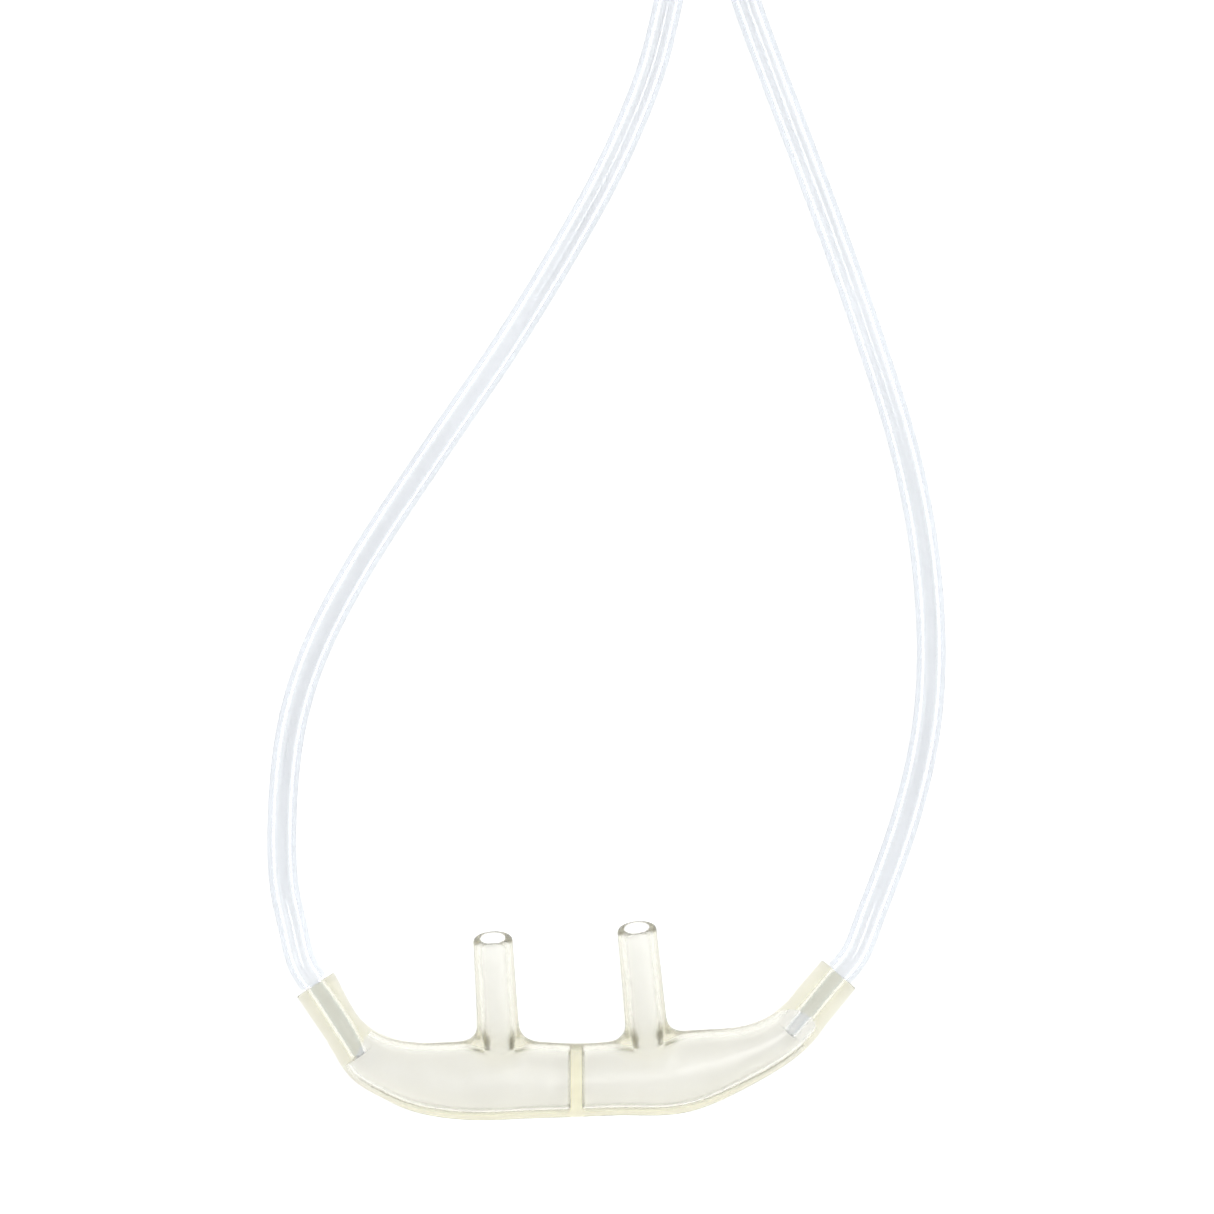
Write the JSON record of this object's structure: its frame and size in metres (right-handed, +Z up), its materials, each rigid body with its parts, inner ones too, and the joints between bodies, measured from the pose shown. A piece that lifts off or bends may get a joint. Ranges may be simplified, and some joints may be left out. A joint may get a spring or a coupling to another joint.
{
  "type": "carbon dioxide sampling nasal cannula",
  "caption": "Soft clear nasal cannula for sampling exhaled gas: a hollow nosepiece with prongs, thin side tubes through a slider to a Y junction, and a sample line with a luer connector.",
  "frame": {"origin": "bottom centre of the nosepiece's box, on the surface that the cannula lies on", "axes": "+X along the nosepiece to the wearer's side on the right of the view, +Y from the nosepiece towards the tubes' far end, +Z up from the surface"},
  "size_m": [0.0699, 0.2368, 0.0198],
  "materials": {
    "soft_pvc": "clear soft vinyl with a warm tint, satin",
    "tube_pvc": "clear flexible vinyl tube, glossy",
    "hard_clear": "clear rigid plastic, glossy"
  },
  "bodies": {
    "cannula": {"nosepiece": "soft_pvc", "left_arm": "tube_pvc", "right_arm": "tube_pvc", "arm_coil": "tube_pvc", "left_arm_end": "tube_pvc", "right_arm_end": "tube_pvc", "y_junction": "hard_clear", "sample_line": "tube_pvc", "sample_line_coil": "tube_pvc", "sample_line_end": "tube_pvc", "luer_connector": "hard_clear"},
    "slider": {"slider": "soft_pvc"}
  },
  "joints": [
    {"name": "slider_slide", "type": "slide", "parent": "cannula", "child": "slider", "axis": [0, 1, 0], "range_m": [0, 0.008]}
  ]
}
